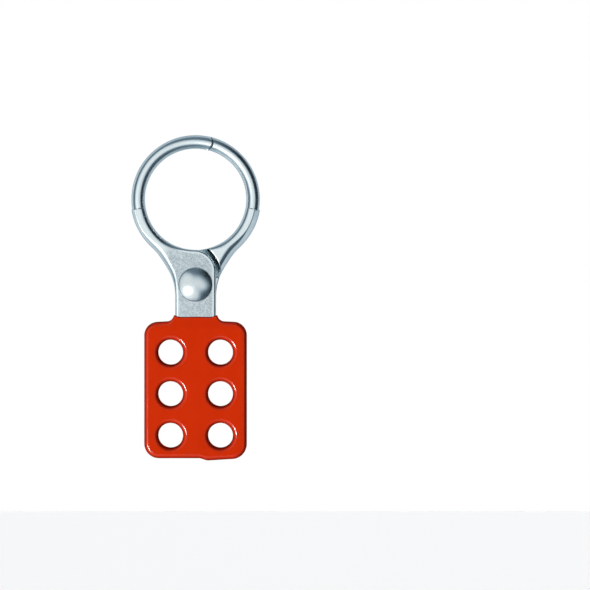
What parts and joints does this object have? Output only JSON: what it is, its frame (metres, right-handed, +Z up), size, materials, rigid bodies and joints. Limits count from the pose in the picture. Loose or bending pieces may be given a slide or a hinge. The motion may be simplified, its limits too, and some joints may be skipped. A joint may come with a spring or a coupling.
{
  "type": "lockout hasp",
  "caption": "Scissor lockout hasp: a round jaw of two cast leaves on a domed rivet, with padlock holes through both red vinyl-coated handles.",
  "frame": {"origin": "inside top of the closed jaw, on the hasp's middle plane, where it hangs on the eye that it locks", "axes": "+X to the right seen from the front, +Y from front to back through the rivet, +Z up from the handles to the jaw"},
  "size_m": [0.0486, 0.0114, 0.1219],
  "materials": {
    "cast_aluminium": "satin tumbled casting, a little brighter on the jaw rods",
    "red_vinyl": "glossy dipped vinyl with rounded rims and a faint run at the lower edge",
    "rivet_steel": "plated steel with a soft satin sheen",
    "washer_steel": "plain rolled steel"
  },
  "bodies": {
    "rear_half": {"rear_leaf": "cast_aluminium", "rear_grip_coating": "red_vinyl", "rivet": "rivet_steel", "backing_washer": "rivet_steel", "thrust_washer": "washer_steel"},
    "front_half": {"front_leaf": "cast_aluminium", "front_grip_coating": "red_vinyl"}
  },
  "joints": [
    {"name": "rivet_pivot", "type": "hinge", "parent": "rear_half", "child": "front_half", "pos_m": [0, 0, -0.05125], "axis": [0, -1, 0], "range_deg": [0, 30]}
  ]
}
